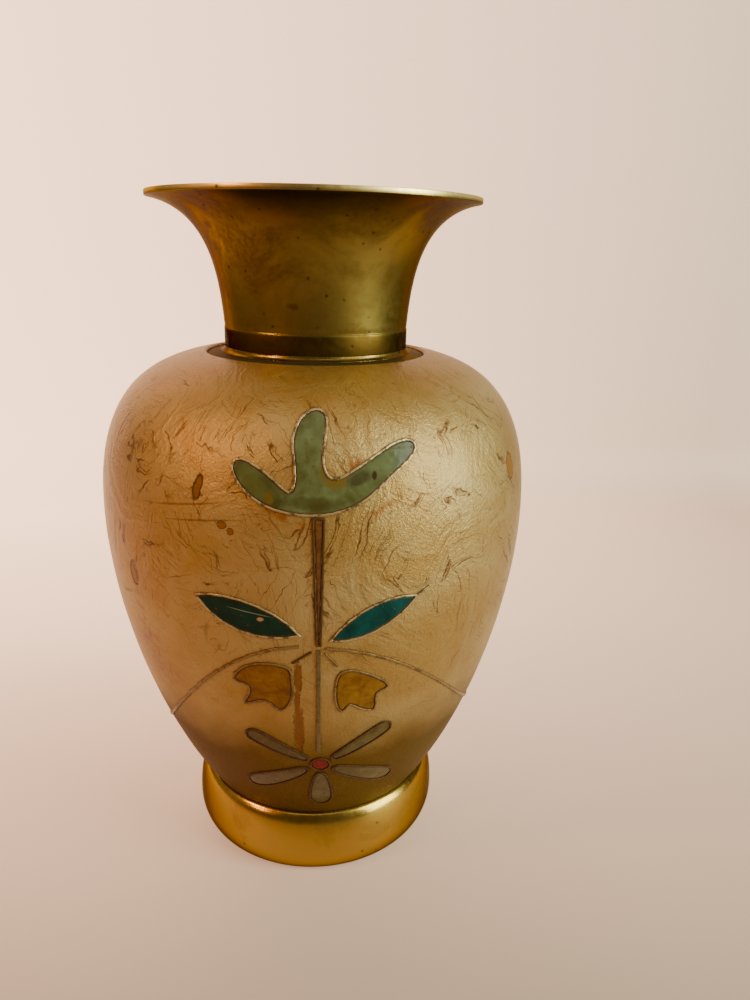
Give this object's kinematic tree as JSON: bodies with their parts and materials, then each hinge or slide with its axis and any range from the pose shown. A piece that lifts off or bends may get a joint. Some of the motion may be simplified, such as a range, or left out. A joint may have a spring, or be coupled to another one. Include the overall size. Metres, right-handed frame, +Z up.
{
  "type": "vase",
  "caption": "Footed brass vase with a flared neck and a rounded body under pearl enamel, with wired flower motifs in coloured enamel; holds stems or stands as decoration.",
  "frame": {"origin": "middle of the resting face under the foot ring", "axes": "+Z up along the vase's axis, front motif faces -Y, +X to the right as seen from in front"},
  "size_m": [0.1208, 0.1214, 0.19],
  "materials": {
    "foot_brass": "polished, lightly worn",
    "body_brass": "tarnished",
    "neck_brass": "satin, aged brown with blotches",
    "solder": "bright run solder",
    "wire_brass": "worn bright on top with dark edges",
    "pearl_enamel": "glossy pearl with brushed swirls",
    "sage_enamel": "glossy, pitted",
    "dark_green_enamel": "glossy",
    "teal_enamel": "glossy",
    "ochre_enamel": "glossy, mottled",
    "stem_enamel": "glossy, worn",
    "cream_enamel": "translucent cream, worn",
    "red_enamel": "glossy"
  },
  "bodies": {
    "root": {"foot_ring": "foot_brass", "lower_shell": "body_brass", "upper_shell": "body_brass", "neck": "neck_brass", "neck_solder_ring": "solder", "foot_solder_ring": "solder", "ground_enamel": "pearl_enamel", "front_tulip_enamel": "sage_enamel", "front_tulip_wire": "wire_brass", "front_upper_stem_enamel": "stem_enamel", "front_upper_stem_wire": "wire_brass", "front_lower_stem_wire": "wire_brass", "front_left_leaf_enamel": "dark_green_enamel", "front_left_leaf_wire": "wire_brass", "front_right_leaf_enamel": "teal_enamel", "front_right_leaf_wire": "wire_brass", "front_left_bell_enamel": "ochre_enamel", "front_left_bell_wire": "wire_brass", "front_right_bell_enamel": "ochre_enamel", "front_right_bell_wire": "wire_brass", "front_left_stalk_wire": "wire_brass", "front_right_stalk_wire": "wire_brass", "front_left_vine_wire": "wire_brass", "front_right_vine_wire": "wire_brass", "front_upper_left_petal_enamel": "cream_enamel", "front_upper_right_petal_enamel": "cream_enamel", "front_lower_left_petal_enamel": "cream_enamel", "front_lower_right_petal_enamel": "cream_enamel", "front_bottom_petal_enamel": "cream_enamel", "front_petal_wires": "wire_brass", "front_daisy_centre_enamel": "red_enamel", "front_daisy_centre_wire": "wire_brass", "back_tulip_enamel": "sage_enamel", "back_tulip_wire": "wire_brass", "back_upper_stem_enamel": "stem_enamel", "back_upper_stem_wire": "wire_brass", "back_lower_stem_wire": "wire_brass", "back_left_leaf_enamel": "dark_green_enamel", "back_left_leaf_wire": "wire_brass", "back_right_leaf_enamel": "teal_enamel", "back_right_leaf_wire": "wire_brass", "back_left_bell_enamel": "ochre_enamel", "back_left_bell_wire": "wire_brass", "back_right_bell_enamel": "ochre_enamel", "back_right_bell_wire": "wire_brass", "back_left_stalk_wire": "wire_brass", "back_right_stalk_wire": "wire_brass", "back_left_vine_wire": "wire_brass", "back_right_vine_wire": "wire_brass", "back_upper_left_petal_enamel": "cream_enamel", "back_upper_right_petal_enamel": "cream_enamel", "back_lower_left_petal_enamel": "cream_enamel", "back_lower_right_petal_enamel": "cream_enamel", "back_bottom_petal_enamel": "cream_enamel", "back_petal_wires": "wire_brass", "back_daisy_centre_enamel": "red_enamel", "back_daisy_centre_wire": "wire_brass"}
  },
  "joints": []
}
